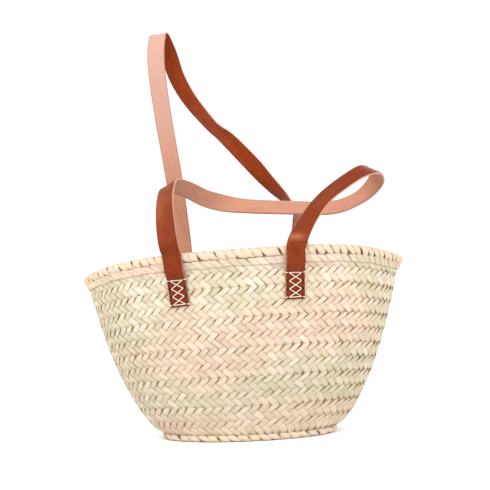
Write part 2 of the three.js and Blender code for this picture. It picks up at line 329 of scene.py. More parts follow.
def palm_material(name, crevice_shade, fibre_bump):
    """Dry palm leaf: colour of each strand from the mesh, fibres along it, and painted brown shade where
    strands meet.
    """
    material, tree = new_material(name)
    tint = attribute(tree, "tint", "Vector")
    fibre = attribute(tree, "fibre", "Vector")
    edge = attribute(tree, "edge")
    fine = noise(tree, scaled(tree, fibre, (0.06, 3.2, 1.0)), detail=5.0, roughness=0.65)
    broad = noise(tree, scaled(tree, fibre, (0.05, 0.8, 1.0)), detail=3.0, roughness=0.5)
    spots = noise(tree, scaled(tree, fibre, (0.25, 0.6, 1.0)), detail=2.0, roughness=0.5)
    colour = mix_colour(tree, "MULTIPLY", ramp(tree, fine, 0.3, 0.7), tint, (0.87, 0.83, 0.75))
    wide = ramp(tree, broad, 0.42, 0.68, 0.0, 0.55)
    colour = mix_colour(tree, "MULTIPLY", wide, colour, (0.92, 0.86, 0.76))
    freckle = ramp(tree, spots, 0.64, 0.74, 0.0, 0.5)
    colour = mix_colour(tree, "MIX", freckle, colour, (0.40, 0.24, 0.11))
    # painted shade: the edge layer darkens the leaf towards the crevice shade colour where strands meet
    # and dip under
    colour = mix_colour(tree, "MULTIPLY", ramp(tree, edge, 0.0, 1.0), colour, crevice_shade)
    # painted shade: an edge above 1 is a slit, painted near-black for the shade down in the plait
    colour = mix_colour(tree, "MULTIPLY", ramp(tree, edge, 0.9, 1.7), colour, (0.16, 0.12, 0.09))
    normal = bump(tree, fine, fibre_bump, 0.0004)
    normal = bump(tree, broad, fibre_bump, 0.0008, normal)
    set_surface(tree, colour, ramp(tree, fine, 0.3, 0.7, 0.5, 0.75), normal, specular=0.35)
    return material


def cord_material():
    """Brown palm cord deep in the seams, with its twist."""
    material, tree = new_material("palm_cord")
    place = (node(tree, "ShaderNodeTexCoord"), "Object")
    strands = noise(tree, scaled(tree, place, (1, 1, 1.6)), 900)
    twist = node(tree, "ShaderNodeTexWave", Scale=420.0, Distortion=2.0, Detail=2.0)
    twist.bands_direction = "DIAGONAL"
    link(tree, place, twist.inputs["Vector"])
    shade = ramp(tree, strands, 0.3, 0.7)
    colour = mix_colour(tree, "MIX", shade, (0.16, 0.075, 0.028), (0.36, 0.20, 0.085))
    colour = mix_colour(tree, "MULTIPLY", (twist, "Fac"), colour, (0.6, 0.5, 0.4))
    normal = bump(tree, (twist, "Fac"), 0.6, 0.0006)
    set_surface(tree, colour, ramp(tree, strands, 0.3, 0.7, 0.75, 0.95), normal)
    return material


def grain_material(name, painted_light):
    """Saddle-brown grain side: cloudy dye, fine pores, soft gloss, worn and burnished along the edges,
    with painted shade in its wrinkles and painted sheen on its bends.

    The last argument paints light: one leather, painted lighter on the rear strap and darker on the front,
    for how the light falls on each.
    """
    material, tree = new_material(name)
    strap = attribute(tree, "strap", "Vector")
    crease = attribute(tree, "crease")
    wear = ramp(tree, attribute(tree, "wear"), 0.0, 1.0, 0.0, 0.75)
    # painted sheen: pale pinkish bands stand in for highlights where the strap bends
    painted_sheen = ramp(tree, attribute(tree, "painted_sheen"), 0.0, 1.0, 0.0, 0.7)
    lines = node(tree, "ShaderNodeTexWave", Scale=0.116, Distortion=4.5, Detail=2.5)
    lines.inputs["Detail Scale"].default_value = 1.6
    link(tree, strap, lines.inputs["Vector"])
    wrinkle = node(tree, "ShaderNodeMath", operation="MULTIPLY")
    link(tree, ramp(tree, (lines, "Fac"), 0.0, 0.45, 1.0, 0.0), wrinkle.inputs[0])
    link(tree, crease, wrinkle.inputs[1])
    clouds = noise(tree, scaled(tree, strap, (0.05, 0.09, 1)))
    blotch = noise(tree, scaled(tree, strap, (0.42, 0.6, 1)), detail=5.0, roughness=0.7)
    fine = noise(tree, scaled(tree, strap, (4, 4, 1)), detail=3.0)
    pores = node(tree, "ShaderNodeTexVoronoi", Scale=1.0, feature="DISTANCE_TO_EDGE")
    link(tree, scaled(tree, strap, (1.9, 2.2, 1)), pores.inputs["Vector"])
    dyes = ((0.195, 0.030, 0.005), (0.28, 0.050, 0.008), (0.150, 0.021, 0.0045))
    dark, light, mottle = (tuple(part * painted_light for part in dye) for dye in dyes)
    colour = mix_colour(tree, "MIX", ramp(tree, clouds, 0.32, 0.68), dark, light)
    mottled = ramp(tree, blotch, 0.38, 0.66, 0.0, 0.75)
    colour = mix_colour(tree, "MIX", mottled, colour, mottle)
    pit = ramp(tree, (pores, "Distance"), 0.0, 0.2, 0.7, 0.0)
    colour = mix_colour(tree, "MULTIPLY", pit, colour, (0.55, 0.42, 0.36))
    colour = mix_colour(tree, "MIX", wear, colour, (0.11, 0.016, 0.005))
    # painted shade: the wrinkle lines are darkened where the crease grooves hold shade
    colour = mix_colour(tree, "MULTIPLY", (wrinkle, 0), colour, (0.42, 0.30, 0.26))
    colour = mix_colour(tree, "MIX", painted_sheen, colour, (0.42, 0.15, 0.075))
    normal = bump(tree, (pores, "Distance"), 0.35, 0.00025)
    normal = bump(tree, fine, 0.25, 0.00015, normal)
    normal = bump(tree, blotch, 0.3, 0.0006, normal)
    groove = node(tree, "ShaderNodeMath", operation="SUBTRACT")
    groove.inputs[0].default_value = 1.0
    link(tree, (wrinkle, 0), groove.inputs[1])
    normal = bump(tree, (groove, 0), 0.6, 0.0005, normal)
    set_surface(tree, colour, ramp(tree, blotch, 0.3, 0.7, 0.30, 0.48), normal, specular=0.08)
    return material


def flesh_material(name, pale, tan, fibres, dark_edge):
    """Raw underside and cut edges: napped pale leather with fibres along the strap."""
    material, tree = new_material(name)
    strap = attribute(tree, "strap", "Vector")
    nap = noise(tree, scaled(tree, strap, fibres), detail=5.0, roughness=0.7)
    clouds = noise(tree, scaled(tree, strap, (0.03, 0.12, 1)), detail=3.0, roughness=0.5)
    wear = ramp(tree, attribute(tree, "wear"), 0.2, 1.0)
    # the flesh is paler along a stretch of the strap, given by its layer
    paler = ramp(tree, attribute(tree, "paler"), 0.0, 1.0, 0.0, 0.65)
    colour = mix_colour(tree, "MIX", ramp(tree, nap, 0.3, 0.7), pale, tan)
    cloudy = ramp(tree, clouds, 0.4, 0.75, 0.0, 0.5)
    colour = mix_colour(tree, "MULTIPLY", cloudy, colour, (0.86, 0.72, 0.62))
    colour = mix_colour(tree, "MIX", paler, colour, (0.46, 0.295, 0.245))
    colour = mix_colour(tree, "MULTIPLY", wear, colour, dark_edge)
    roughness = ramp(tree, nap, 0.3, 0.7, 0.78, 0.95)
    set_surface(tree, colour, roughness, bump(tree, nap, 0.5, 0.0003), specular=0.25, sheen=0.15)
    return material


def thread_material():
    """Waxed off-white thread, with painted shade in the groove between its two plies."""
    material, tree = new_material("waxed_thread")
    hair = noise(tree, scaled(tree, attribute(tree, "ply", "Vector"), (1.2, 5.0, 1)))
    shade = ramp(tree, hair, 0.3, 0.7)
    colour = mix_colour(tree, "MIX", shade, (0.80, 0.72, 0.62), (0.60, 0.50, 0.39))
    groove = ramp(tree, attribute(tree, "edge"), 0, 1, 0, 0.8)
    colour = mix_colour(tree, "MULTIPLY", groove, colour, (0.6, 0.45, 0.32))
    set_surface(tree, colour, ramp(tree, hair, 0.3, 0.7, 0.45, 0.7), bump(tree, hair, 0.5, 0.0002))
    return material


def punched_material():
    """Near-black leather of a punched hole and its lip: burnished leather on the lip, painted shade down
    in the hole.
    """
    material, tree = new_material("punched_lip_and_hole_shade")
    place = (node(tree, "ShaderNodeTexCoord"), "Object")
    grain = noise(tree, place, 1500, detail=3.0)
    shade = ramp(tree, grain, 0.3, 0.7)
    colour = mix_colour(tree, "MIX", shade, (0.008, 0.0025, 0.001), (0.035, 0.009, 0.003))
    roughness = ramp(tree, grain, 0.3, 0.7, 0.6, 0.8)
    set_surface(tree, colour, roughness, bump(tree, grain, 0.4, 0.0002), specular=0.02)
    return material


# the second value of each is the colour of the painted crevice shade
palm = palm_material("palm_plait", (0.50, 0.30, 0.14), 0.35)
palm_rim = palm_material("palm_rim", (0.60, 0.30, 0.12), 0.45)
palm_welt = palm_material("palm_base", (0.50, 0.27, 0.11), 0.45)
cord = cord_material()
# painted light: the same leather as a darker copy for the front strap and a lighter copy for the rear
front_grain_shaded = grain_material("leather_grain_front_shaded", 0.94)
rear_grain_lit = grain_material("leather_grain_rear_lit", 1.2)
flesh = flesh_material(
    "leather_flesh",
    pale=(0.50, 0.245, 0.165),
    tan=(0.41, 0.185, 0.115),
    fibres=(0.25, 1.6, 1),
    dark_edge=(0.82, 0.70, 0.62),
)
raw_edge = flesh_material(
    "leather_edge",
    pale=(0.60, 0.34, 0.23),
    tan=(0.44, 0.21, 0.13),
    fibres=(0.8, 3.0, 3.0),
    dark_edge=(0.42, 0.27, 0.18),
)
thread = thread_material()
punched = punched_material()


# ---------- plaited leaf ----------

COLUMN_PITCH = 0.0118
BASE_ROW_PITCH = 0.0098
CYCLE = 4  # a strand goes over two others and under two
PLAIT_MIDDLE = -WALL / 2  # level of the plait's middle, out from the wall's outer face
LIFT = 0.00088  # how far a strand rises and dips about the middle
HALF_THICK = 0.0007
# The outline of a strand's section: place across it and height, both from -1 to 1.
SECTION = np.array(
    [
        (-1, 0), (-0.87, 0.6), (-0.45, 0.95), (0.45, 0.95), (0.87, 0.6),
        (1, 0), (0.87, -0.6), (0.45, -0.9), (-0.45, -0.9), (-0.87, -0.6),
    ]
)
ACROSS, THROUGH = SECTION[None, None, :, 0], SECTION[None, None, :, 1]
STATIONS_PER_CROSSING = 3.0
warm_patches = Patches(0.17, 152)
green_patches = Patches(0.21, 1416)
light_patches = Patches(0.09, 652)
row_warmth = np.random.default_rng(5).uniform(-1, 1, (TURNS + 1) * ROWS + 2)
row_green = np.random.default_rng(9).uniform(-1, 1, (TURNS + 1) * ROWS + 2)


def leaf_colour(points, row, random_part):
    """Cream leaf with peach and grey-green runs along the rows. random_part varies each strand."""
    x = points[..., 0] + 0.35 * np.where(points[..., 1] > 0, 1.0, 0.0)
    z = points[..., 2]
    row = np.clip(row, 0, len(row_warmth) - 1).astype(int)
    warm = warm_patches(x, z * 2.4) * 0.8 + row_warmth[row] * 0.5 + random_part[0] * 0.33
    green = green_patches(x, z * 2.4) * 1.0 + row_green[row] * 0.4 + random_part[1] * 0.33
    light = light_patches(x, z) * 0.4 + random_part[2] * 0.5
    colour = np.broadcast_to(CREAM, (*warm.shape, 3)).copy()
    for amount, tone in ((warm, PEACH), (green, GREEN), (light, PALE)):
        share = (smoothstep(amount, 0.0, 1.5) * 0.85)[..., None]
        colour = colour * (1 - share) + tone * share
    # painted light: the leaf is painted lighter towards the rim, for the light falling on the upper wall
    painted_top_light = 0.955 + 0.12 * smoothstep(z, 0.08, 0.25)
    return colour * (painted_top_light * (1 + 0.045 * np.clip(random_part[3], -1.5, 1.5)))[..., None]


def wave(phase):
    """A cosine with flat tops and bottoms."""
    return np.tanh(2.1 * np.cos(phase)) / math.tanh(2.1)


def strands(surface, rising, numbers, first, last, fill, lift, tail, look, loose=None):
    """Leaf strands on a plait. Rising ones lean like a slash, the others like a backslash.

    Along a strand the count runs over the strands that it crosses, from first to last. surface maps
    (column, row, out) to points. fill is the strands' width, and tail narrows their far ends. loose
    gives, from 0 to 1, how far the plait is pulled apart at a column: slits open there at every second
    row. Gives the points and their layers, the random part of their colour, and each point's row.
    """
    count = len(numbers)
    stations = int((last - first) * STATIONS_PER_CROSSING) + 1
    along = np.linspace(first, last, stations)[None, :, None]
    number = np.asarray(numbers, float)[:, None, None]
    bend = draw(look, count)
    slack = (draw(look, count, 0) < 0.12) * 0.14
    width = fill * (1 - slack + 0.05 * draw(look, count))
    drift = 0.05 * draw(look, count) + 0.03 * np.sin(along * 1.3 + bend * 9)
    taper = tail * smoothstep(along, last - 1.6, last - 0.2)
    open_end = 1 - taper * draw(look, count, 0.1)
    open_end = open_end * (1 - 0.35 * smoothstep(-along, -first - 0.8, -first))
    slit = np.zeros((count, stations, 1))
    if loose:
        here = loose(number + (0.5 if rising else -0.5) * along)
        uneven = 0.65 + 0.35 * np.sin(number * 2.3 + along * 0.8 + bend * 4)
        crossing = np.round((along - 0.5) / CYCLE)
        stray = smoothstep(np.sin(crossing * 12.9 + number * 78.2 + bend * 40), 0.88, 0.96)
        opened = np.maximum(1.3 * here * uneven, 0.9 * stray)
        slit = opened * np.maximum(0, np.cos(math.pi / 2 * (along - 0.5))) ** 2
    open_end = open_end * (1 - 0.24 * slit)
    v = 0.5 * ACROSS * width * open_end + drift
    if rising:
        column, row = (2 * number + along + v) / 2, (along - v) / 2
        centre = 3.5
    else:
        column, row = (2 * number - along + v) / 2, (along + v) / 2
        centre = 1.5
    cell = np.round((along - centre) / CYCLE)
    jitter = 1 + 0.28 * np.sin(cell * 12.9898 + number * 78.233 + 3.1 * bend)
    swing = wave(math.pi / 2 * (along - centre))
    height = lift * swing * np.where(swing > 0, jitter, 1)
    roof = THROUGH * HALF_THICK * (0.55 + 0.45 * open_end)
    sag = -0.0002 * ACROSS * np.sin(number * 3.7 + bend)
    points = surface(column, row - 0.25, PLAIT_MIDDLE + height + roof + sag)
    flat = np.broadcast_to(along, points.shape[:3])
    row_of_point = np.floor((flat - (0.5 if rising else 0.0)) / 2)
    scatter = ((91.7, 17.3), (37.1, 53.9), (63.3, 29.7), (21.9, 47.1))
    seeds = [
        np.broadcast_to(1.7 * np.sin(cell * a + number * b + bend * 5), flat.shape) for a, b in scatter
    ]
    leaf = number * 7.31 + (0.5 if rising else 0.0)
    fibre = np.stack(np.broadcast_arrays(flat * 6.0, ACROSS * 3.8, leaf), -1)
    # painted shade in the edge layer: dark along a strand's sides, where it dips under its neighbours, and
    # deep in the slits
    under = 0.75 * smoothstep(-swing * np.sign(THROUGH), 0.0, 0.9)
    shade = slit * (0.12 + 1.0 * np.abs(ACROSS) ** 5)
    edge = np.clip(np.abs(ACROSS) ** 14 * 0.85 + under, 0, 1) + shade
    return points, {"fibre": fibre, "edge": edge}, seeds, row_of_point


def plait_piece(name, node_name, surface, runs, look, row_of, loose=None, flipped=False):
    """A plaited piece. Each run of strands is (rising, numbers, first, last, fill, lift, tail)."""
    groups = []
    for run in runs:
        points, layers, seeds, row = strands(surface, *run, look, loose)
        groups.append((points, {**layers, "tint": leaf_colour(points, row_of(row), seeds)}))
    piece = make_piece(name, groups, [palm], flipped=flipped)
    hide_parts(node_name)


def wall_turn(number):
    low = (number - 1) * TURN_SHARE
    middle = low + TURN_SHARE / 2
    around = Around(half_length(middle), half_depth(middle), crowding=0.4)
    columns = around.count(COLUMN_PITCH)
    phase = number * 0.37

    def angle_of(column):
        return around.angle((column + phase) / columns)

    def surface(column, row, out):
        return wall_point(angle_of(column), low + row / ROWS * TURN_SHARE, out)

    def loose(column):
        return smoothstep(np.abs(np.cos(angle_of(column))), 0.5, 0.92)

    def row_of(row):
        return (number - 1) * ROWS + row

    every = np.arange(columns)
    runs = [
        (True, every, 0.6, 9.15, 0.97, LIFT * 0.95, 0.62),
        (False, every, -0.25, 8.7, 1.18, LIFT * 1.2, 0.1),
    ]
    look = np.random.default_rng(SEED + number)
    name, node_name = f"wall_plait_{number}", f"wall_braid_{number}"
    plait_piece(name, node_name, surface, runs, look, row_of, loose)


for turn in range(1, TURNS + 1):
    wall_turn(turn)


# ---------- whipped rings: the rim and the rolled seam round the base ----------

RIM_PITCH, WELT_PITCH = 0.0118, 0.0139
WRAP_DEPTH = 0.0014
WRAP_STATIONS = 17


def whipping(name, node_name, centre, wraps, radius, degrees, slant, tuck, distinct, material, seed):
    """Leaf wound round a roll. centre(share) gives the roll's middle and the outward direction there.

    Each wrap is a plump ribbon over the given degrees, where 0 is straight out and 90 up. slant moves
    a wrap along the roll, in wrap widths per half turn, and tuck narrows its outer lower end.
    distinct(share) says how far the wraps stand apart there, from 0 to 1.
    """
    look = np.random.default_rng(seed)
    start, stop = np.radians(degrees)
    turn = np.linspace(start, stop, WRAP_STATIONS)[None, :, None]
    number = np.arange(wraps, dtype=float)[:, None, None]
    wander = 0.10 * draw(look, wraps)
    plump = 1 + 0.10 * draw(look, wraps)
    tilt = draw(look, wraps, 0.2)
    gap = draw(look, wraps, 0.2)
    apart = distinct(np.arange(wraps) / wraps)[:, None, None]
    plump = plump * (0.72 + 0.5 * apart)
    low_share = 1 - smoothstep(turn, start + math.radians(20), start + math.radians(120))
    narrow = 1 - tuck * (0.3 * gap + (0.9 + 0.9 * gap) * apart) * low_share
    lean = -slant * (turn - math.pi / 2) / math.pi + 0.08 * np.sin(turn * 2 + number * 1.9)
    share = (number + wander + lean + 0.53 * ACROSS * narrow) / wraps
    crown = np.where(THROUGH > 0, THROUGH * WRAP_DEPTH * plump, THROUGH * 0.0008)
    shingle = 0.00045 * tilt * ACROSS * np.where(THROUGH >= 0, 1, 0)
    level = np.minimum(radius - WRAP_DEPTH + crown + shingle, radius) * np.ones_like(turn)
    middle, outward = centre(share)
    points = middle + outward * (level * np.cos(turn))[..., None]
    points[..., 2] += level * np.sin(turn)
    flat = np.broadcast_to(turn, level.shape)
    fibre = np.stack(np.broadcast_arrays(flat * 1000 * radius, ACROSS * 5, number * 5.17), -1)
    # painted shade in the edge layer: dark at each wrap's lower end, where it tucks under, and along its
    # sides between wraps
    low_end = 0.7 * (1 - smoothstep(flat, start + math.radians(2), start + math.radians(24)))
    line = 0.5 + 0.3 * gap + 0.6 * apart
    edge = np.clip(np.abs(ACROSS) ** 9 * line + low_end, 0, 1)
    creamy = draw(look, wraps, 0)[..., None]
    pale = 0.5 * draw(look, wraps, 0)[..., None] ** 2
    tint = STRAW * (1 - creamy) + CREAM * creamy
    tint = np.broadcast_to(tint * (1 - pale) + PALE * pale, points.shape)
    layers = {"fibre": fibre, "edge": edge, "tint": tint}
    piece = make_piece(name, [(points, layers)], [material])
    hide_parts(node_name)


def outward_at(angle, half_x, half_y):
    """Straight out from an oval, level."""
    x, y = np.cos(angle) / half_x, np.sin(angle) / half_y
    size = np.hypot(x, y)
    return np.stack([x / size, y / size, 0 * x], -1)


rim_around = Around(RIM_HALF_LENGTH, RIM_HALF_DEPTH, crowding=0.75)
welt_around = Around(BASE_HALF_LENGTH, BASE_HALF_DEPTH)


def rim_centre(share):
    angle = rim_around.angle(share)
    outward = outward_at(angle, RIM_HALF_LENGTH, RIM_HALF_DEPTH)
    return wall_point(angle, 1.0, ROLL_MIDDLE), outward


def rim_distinct(share):
    return smoothstep(np.cos(rim_around.angle(share)), 0.1, 0.55)


def welt_centre(share):
    angle = welt_around.angle(share)
    half_x, half_y = BASE_HALF_LENGTH - WELT_RADIUS, BASE_HALF_DEPTH - WELT_RADIUS + 0.0005
    x, y = half_x * np.cos(angle), half_y * np.sin(angle)
    return np.stack([x, y, 0 * x + WELT_RADIUS], -1), outward_at(angle, half_x, half_y)


def welt_distinct(share):
    return 0.4 + 0 * share


whipping(
    "rim_whipping",
    "rim_wrap",
    centre=rim_centre,
    wraps=rim_around.count(RIM_PITCH),
    radius=ROLL_RADIUS + 0.0001,
    degrees=(-104, 236),
    slant=0.85,
    tuck=0.22,
    distinct=rim_distinct,
    material=palm_rim,
    seed=SEED + 20,
)
whipping(
    "base_whipping",
    "base_welt",
    centre=welt_centre,
    wraps=welt_around.count(WELT_PITCH),
    radius=WELT_RADIUS,
    degrees=(-165, 170),
    slant=0.75,
    tuck=0.1,
    distinct=welt_distinct,
    material=palm_welt,
    seed=SEED + 21,
)


# ---------- collar under the rim roll ----------

PAD_ROWS, PAD_RING = 9, 20
PAD_SQUARENESS = 0.42


def boxy(c):
    """Pushes a sine or cosine out towards -1 and 1, which makes a round pad square."""
    return np.sign(c) * np.abs(c) ** PAD_SQUARENESS


def collar():
    """Flat pads of folded leaf, side by side round the wall, each a little over the next."""
    look = np.random.default_rng(SEED + 30)
    pads = rim_around.count(RIM_PITCH)
    lat = np.linspace(-math.pi / 2, math.pi / 2, PAD_ROWS)[None, :, None]
    lon = np.linspace(0, math.tau, PAD_RING, endpoint=False)[None, None, :]
    full = np.ones((pads, PAD_ROWS, PAD_RING))
    px = boxy(np.cos(lon)) * boxy(np.cos(lat)) * full
    pz = boxy(np.sin(lon)) * boxy(np.cos(lat)) * full
    py = boxy(np.sin(lat)) * full
    number = np.arange(pads, dtype=float)[:, None, None]
    length = 0.59 + 0.04 * draw(look, pads)
    lean = -0.95 + 0.3 * draw(look, pads)
    share = (number + 0.08 * draw(look, pads) + length * px + lean * pz * 0.5) / pads
    level = COLLAR_TOP + COLLAR_HEIGHT / 2 - 0.0013
    half = (COLLAR_HEIGHT / 2 + 0.0014) * (1 - 0.16 * draw(look, pads, 0))
    up = -level + half * pz + 0.0006 * draw(look, pads)
    out = 0.0014 + (0.0013 + 0.0003 * draw(look, pads)) * py - 0.0005 * px + 0.0010 * pz
    points = wall_point(rim_around.angle(share), 1 + up / WALL_HEIGHT, out)
    fibre = np.stack(np.broadcast_arrays(px * 6, pz * 4, number * 3.3), -1)
    # painted shade in the edge layer: dark along each pad's outline and on the end that slips under the
    # next pad
    rim = np.maximum(np.abs(px), np.abs(pz)) ** 12
    edge = np.clip(rim * 0.85 + 0.4 * smoothstep(px, 0.5, 0.95), 0, 1)
    seeds = [draw(look, pads) * full for _ in range(4)]
    tint = leaf_colour(points, TURNS * ROWS * full, seeds)
    layers = {"fibre": fibre, "edge": edge, "tint": tint}
    groups = [(points, layers)]
    piece = make_piece("rim_collar_leaf", groups, [palm_rim], capped=False, flipped=True)
    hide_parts("rim_collar")


collar()


# ---------- base ----------


def base_plait():
    """The oval bottom: the same plait laid flat, its strands cut to the oval."""
    half_x = BASE_HALF_LENGTH - 2 * WELT_RADIUS + 0.004
    half_y = BASE_HALF_DEPTH - 2 * WELT_RADIUS + 0.004
    reach = int(half_x / COLUMN_PITCH + half_y / BASE_ROW_PITCH) + 2
    along = np.linspace(-4 * reach, 4 * reach, 1200)

    def surface(column, row, out):
        out = out + WALL / 2 + 0.0025
        return np.stack([column * COLUMN_PITCH, row * BASE_ROW_PITCH, -out * 0.95 + 0.005], -1)

    def row_of(row):
        return row % 8

    runs = []
    for rising, lean in ((True, 1), (False, -1)):
        for number in range(-reach, reach + 1):
            x = (2 * number + lean * along) / 2 * COLUMN_PITCH
            y = (along / 2 - 0.25) * BASE_ROW_PITCH
            inside = along[(x / half_x) ** 2 + (y / half_y) ** 2 < 1]
            if len(inside) >= 2 and inside[-1] - inside[0] >= 1.5:
                runs.append((rising, [number], inside[0], inside[-1], 0.97, LIFT * 0.95, 0.1))
    look = np.random.default_rng(SEED + 40)
    plait_piece("base_plait", "base_panel", surface, runs, look, row_of, flipped=True)


base_plait()


# ---------- leather handles ----------

STRAP_WIDTH, STRAP_THICKNESS, STRAP_GAP = 0.025, 0.0032, 0.0004
STRAP_STEPS = 6  # steps of a strap's mesh between two of its route's points
TAB_LIFT, TAB_LIFT_RISE = 0.0056, 0.011
TAB_HEIGHTS = [0, 14, 28, 36, 41, 46, 52, 60, 67]  # mm above the tab's lower end
TAB_LENGTH = 36.0  # sewn part of a strap, in mm

# A sewn end has its middle at x, its foot at that height, its lean, its side of the basket (-1 front,
# 1 back) and which way the strap's width runs. The free part between has the route's points and the
# direction of the strap's width there. Lengths are in mm.
FRONT = {
    "start": dict(x=-82.5, foot=185, lean=-0.09, side=-1, across=-1),
    "free": [
        (-94, -90, 268, -10, 0, 0),
        (-98, -68, 295, -9.8, 1.9, 0.4),
        (-100, -38, 326, -9.1, 3.6, -2),
        (-97, -8, 347, -8.8, 1, -4.7),
        (-88, 14, 348, -7.5, 1, -6.6),
        (-71, 34, 342, -4.2, 3.8, -8.2),
        (-43, 48, 328, -3.6, 1.5, -9.2),
        (1, 57, 318, -1.5, -5.6, -8.2),
        (72, 60, 312, -0.3, -6.4, -7.7),
        (128, 56, 309, 0.8, -6.6, -7.5),
        (157, 48, 315, 3.2, -7.3, -6),
        (179, 38, 327, 5.5, -7.4, -3.8),
        (193, 20, 344, 6.6, -7, -2.8),
        (189, 2, 355, 3.5, -9, -2.6),
        (170, -13, 355, 2.4, -7.6, -6),
        (138, -26, 337, 4.1, -7.4, -5.3),
        (110, -44, 316, 5.1, -7.5, -4.1),
        (88, -66, 290, 7.2, -6.2, -3.2),
        (75, -86, 270, 9.5, -1, -1),
    ],
    "finish": dict(x=66, foot=188.5, lean=0.03, side=-1, across=1),
}
REAR = {
    "start": dict(x=-80, foot=187, lean=-0.08, side=1, across=1),
    "free": [
        (-89, 92, 285, 10, 0, 0),
        (-96, 83, 366, 9.9, 1, 0.3),
        (-107, 68, 459, 9.9, 1, -0.4),
        (-112, 55, 531, 10, 0, -0.5),
        (-107, 62, 571, 9.7, -2.1, 0.7),
        (-96, 80, 549, 9.3, -2, 3.1),
        (-85, 88, 513, 8.7, -3.9, 2.9),
        (-67, 90, 479, 6.4, -6, 4.8),
        (-39, 88, 442, 4.5, -7.7, 4.5),
        (-26, 86, 429, 3.4, -7.6, 5.5),
        (-11, 84, 415, 5.6, -5.6, 6.1),
        (21, 84, 379, 7.1, -4.3, 5.6),
        (41, 85, 355, 6.1, -6.5, 4.5),
        (63, 87, 331, 4, -8.7, 2.7),
        (80, 89, 313, -2.4, -9.7, 0.1),
        (88.5, 90, 293, -9.7, -2.1, 0.7),
        (85.5, 93, 270, -10, 0, 0.5),
    ],
    "finish": dict(x=79, foot=189, lean=0.09, side=1, across=-1),
}


def unit(v):
    v = np.asarray(v, float)
    return v / np.linalg.norm(v, axis=-1, keepdims=True)


def distance_along(path):
    steps = np.linalg.norm(np.diff(path, axis=0), axis=1)
    return np.concatenate([[0], np.cumsum(steps)])


def strap_on_wall(end, z):
    """Middle of the strap at height z where it lies on the wall, the direction across it and outwards."""
    x = (end["x"] + end["lean"] * (z / MM - end["foot"])) * MM
    angle = end["side"] * math.pi / 2
    for _ in range(12):
        t = (z - FOOT_HEIGHT) / (rim_height(angle) - FOOT_HEIGHT)
        angle = end["side"] * math.acos(x / half_length(min(t, 1)))
    t = min(t, 1)
    outward = unit([math.cos(angle) / half_length(t), math.sin(angle) / half_depth(t), 0])
    begin = rim_height(angle) - COLLAR_TOP - COLLAR_HEIGHT - TAB_LIFT_RISE
    lift = TAB_LIFT * float(smoothstep(z, begin, begin + TAB_LIFT_RISE))
    level = STRAP_GAP + STRAP_THICKNESS / 2 + lift
    middle = np.array([x, float(wall_point(angle, t)[1]), z]) + outward * level
    across = np.array([outward[1], -outward[0], 0]) * np.sign(outward[1]) * end["across"]
    return middle, across, outward


def route_of(handle):
    """The strap's middle and the direction across it, from one sewn end to the other."""

    def tab(end):
        made = [strap_on_wall(end, (end["foot"] + h) * MM)[:2] for h in TAB_HEIGHTS]
        return [np.concatenate([middle, unit(across)]) for middle, across in made]

    free = [np.concatenate([np.array(row[:3]) * MM, unit(row[3:])]) for row in handle["free"]]
    return np.array(tab(handle["start"]) + free + tab(handle["finish"])[::-1])


def smooth_route(rows, steps):
    """Catmull-Rom through the rows, and its slope."""
    rows = np.concatenate([[2 * rows[0] - rows[1]], rows, [2 * rows[-1] - rows[-2]]])
    places, slopes = [], []
    spans = len(rows) - 3
    for i in range(spans):
        p0, p1, p2, p3 = rows[i : i + 4]
        last = 1 if i == spans - 1 else 0
        t = (np.arange(steps + last) / steps)[:, None]
        # the span's ends and the slopes there, and the weight of each in the place and in the slope
        knots = (p1, (p2 - p0) / 2, p2, (p3 - p1) / 2)
        place = (2 * t**3 - 3 * t**2 + 1, t**3 - 2 * t**2 + t, 3 * t**2 - 2 * t**3, t**3 - t**2)
        slope = (6 * t**2 - 6 * t, 3 * t**2 - 4 * t + 1, 6 * t - 6 * t**2, 3 * t**2 - 2 * t)
        places.append(sum(weight * knot for weight, knot in zip(place, knots)))
        slopes.append(sum(weight * knot for weight, knot in zip(slope, knots)))
    return np.concatenate(places), np.concatenate(slopes)


def strap_outline():
    """The section in mm, as (across, through), and each face's part: 0 grain, 1 flesh, 2 cut edge."""
    half, thick = STRAP_WIDTH / MM / 2, STRAP_THICKNESS / MM / 2
    grain_side = [(u, thick - 0.12 * (u / half) ** 4) for u in np.linspace(-half + 0.7, half - 0.7, 11)]
    right = [
        (half - 0.15, thick - 0.45),
        (half, thick - 1.1),
        (half, -thick + 0.9),
        (half - 0.1, -thick + 0.25),
    ]
    flesh_side = [(u, -thick) for u in np.linspace(half - 0.45, -half + 0.45, 11)]
    left = [(-u, v) for u, v in right[::-1]]
    parts = [0] * 11 + [2] * 4 + [1] * 10 + [2] * 5
    return np.array(grain_side + right + flesh_side + left), np.array(parts)


